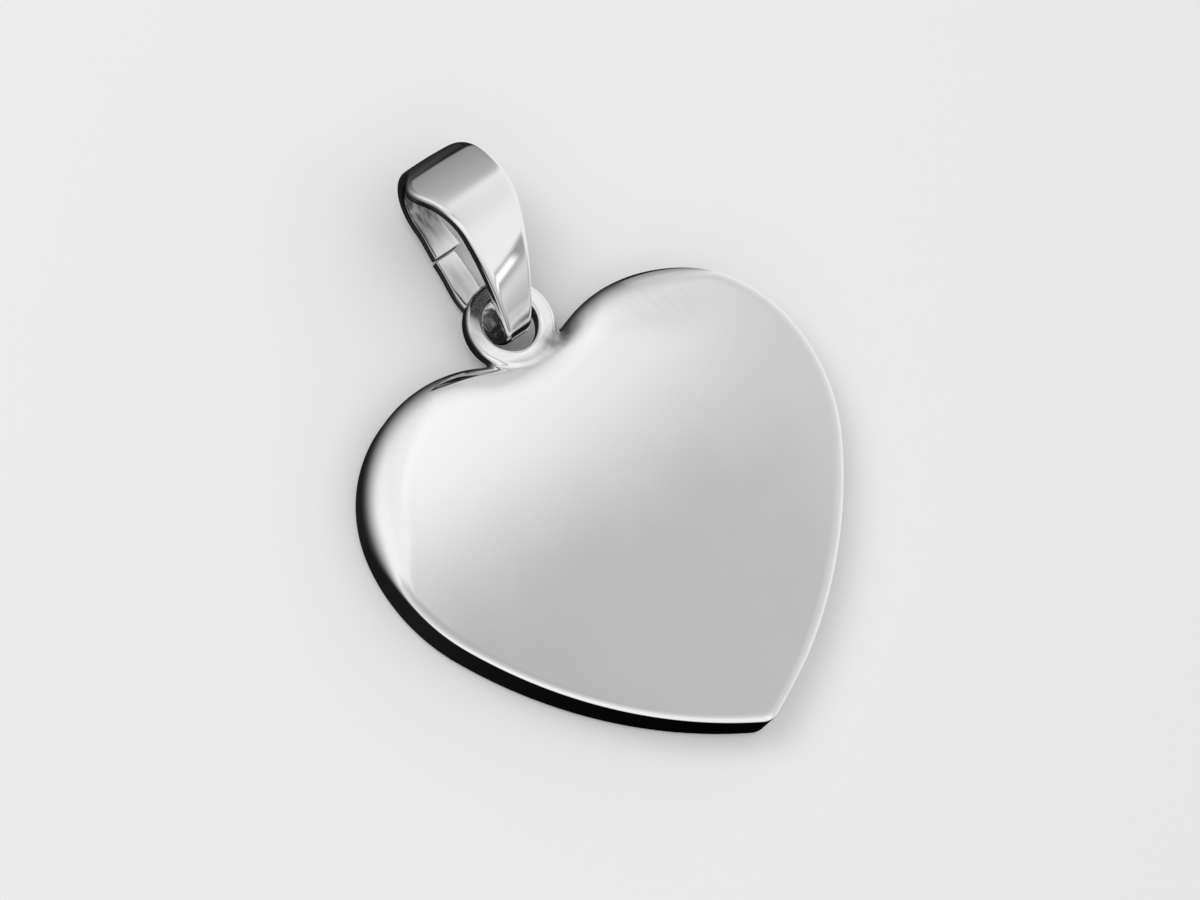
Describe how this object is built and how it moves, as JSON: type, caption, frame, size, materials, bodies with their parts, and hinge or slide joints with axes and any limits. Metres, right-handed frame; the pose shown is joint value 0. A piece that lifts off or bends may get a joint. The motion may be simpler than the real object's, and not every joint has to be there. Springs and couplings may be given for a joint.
{
  "type": "heart pendant",
  "caption": "Solid polished heart pendant with a soldered eye in its notch and a tapered strip bail that hangs in the eye, lying on its flat back.",
  "frame": {"origin": "the middle of the heart's flat back, on its axis of symmetry and midway between the tip and the tops of the lobes", "axes": "+X to the heart's right, +Y from the tip towards the bail, +Z out of the polished face, so the pendant lies on its back on the plane z = 0"},
  "size_m": [0.0238, 0.0302, 0.006],
  "materials": {
    "silver_heart": "soft mirror polish with hairline wear",
    "silver_bail": "mirror polish"
  },
  "bodies": {
    "heart": {"heart": "silver_heart"},
    "bail": {"bail": "silver_bail"}
  },
  "joints": [
    {"name": "bail_swing", "type": "hinge", "parent": "heart", "child": "bail", "pos_m": [-0.0003, 0.01278, 0.0014], "axis": [0.9728, 0.1022, -0.2079], "range_deg": [-135, 45]}
  ]
}
